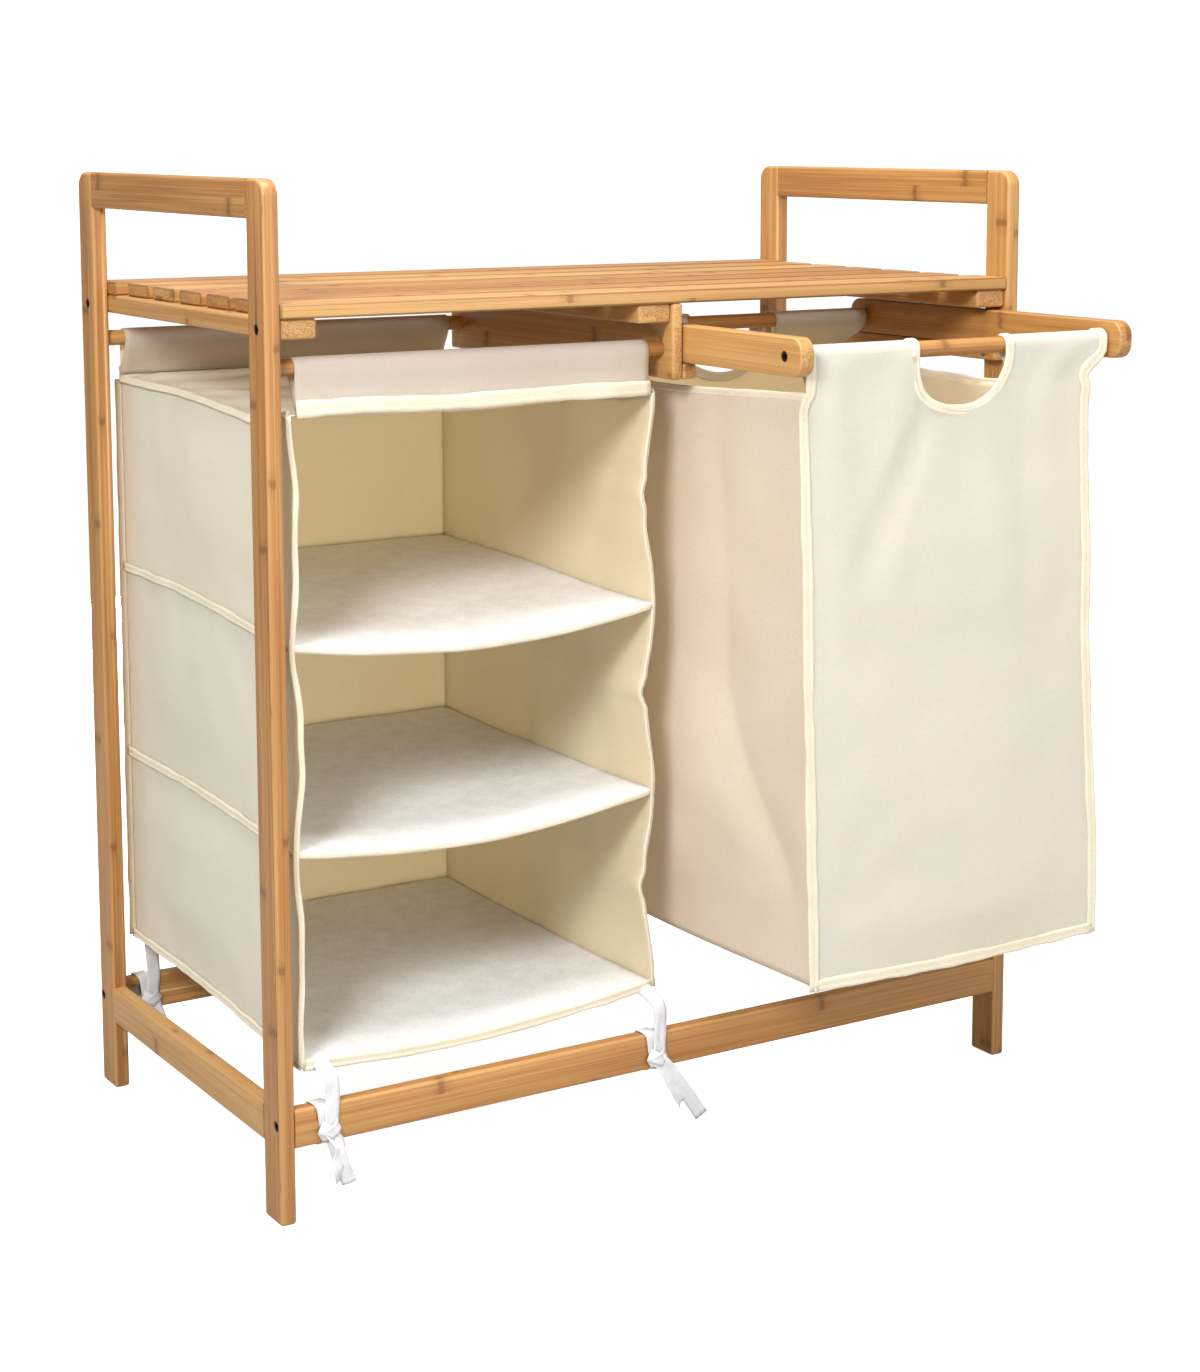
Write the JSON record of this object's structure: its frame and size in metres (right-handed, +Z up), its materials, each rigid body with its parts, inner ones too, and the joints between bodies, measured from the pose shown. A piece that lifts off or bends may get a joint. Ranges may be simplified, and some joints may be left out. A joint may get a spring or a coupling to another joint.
{
  "type": "laundry sorter shelf unit",
  "caption": "Open strip-wood shelf unit with a slatted top and side handles; a hanging open-front cloth organiser on the left and a cloth laundry bag on a sliding frame on the right.",
  "frame": {"origin": "on the floor, under the middle of the whole object's footprint with the bag pulled out as stored", "axes": "+X to the right seen from the front, +Y to the rear, +Z up"},
  "size_m": [0.655, 0.4928, 0.73],
  "materials": {
    "bamboo": "clear satin lacquer on carbonised bamboo",
    "cloth": "plain weave, ivory",
    "ribbon": "white woven tape",
    "card": "board covered in white non-woven cloth",
    "steel": "dark zinc"
  },
  "bodies": {
    "cabinet": {"left_front_post": "bamboo", "left_rear_post": "bamboo", "right_front_post": "bamboo", "right_rear_post": "bamboo", "left_handle_rail": "bamboo", "right_handle_rail": "bamboo", "left_lower_rail": "bamboo", "right_lower_rail": "bamboo", "front_lower_rail": "bamboo", "rear_lower_rail": "bamboo", "shelf_slat_1": "bamboo", "shelf_slat_2": "bamboo", "shelf_slat_3": "bamboo", "shelf_slat_4": "bamboo", "shelf_slat_5": "bamboo", "shelf_slat_6": "bamboo", "shelf_slat_7": "bamboo", "left_batten": "bamboo", "middle_batten": "bamboo", "right_batten": "bamboo", "divider_board": "bamboo", "left_runner": "bamboo", "right_runner": "bamboo", "organiser_front_rod": "bamboo", "organiser_rear_rod": "bamboo", "frame_dowels": "bamboo", "frame_bolts": "steel", "barrel_nuts": "steel", "slat_screws": "steel", "divider_screws": "steel", "runner_screws": "steel", "organiser_left_panel": "cloth", "organiser_right_panel": "cloth", "organiser_back_panel": "cloth", "organiser_top_panel": "cloth", "organiser_front_sleeve": "cloth", "organiser_rear_sleeve": "cloth", "organiser_upper_floor": "cloth", "organiser_middle_floor": "cloth", "organiser_bottom_floor": "cloth", "organiser_boards": "card", "front_left_tie": "ribbon", "front_right_tie": "ribbon", "rear_left_tie": "ribbon", "rear_right_tie": "ribbon"},
    "pullout": {"pullout_left_rail": "bamboo", "pullout_right_rail": "bamboo", "pullout_front_rod": "bamboo", "pullout_rear_rod": "bamboo", "pullout_bolts": "steel", "bag_front_panel": "cloth", "bag_back_panel": "cloth", "bag_left_panel": "cloth", "bag_right_panel": "cloth", "bag_bottom_panel": "cloth"}
  },
  "joints": [
    {"name": "bag_slide", "type": "slide", "parent": "cabinet", "child": "pullout", "axis": [0, -1, 0], "range_m": [-0.146, 0.02]}
  ]
}
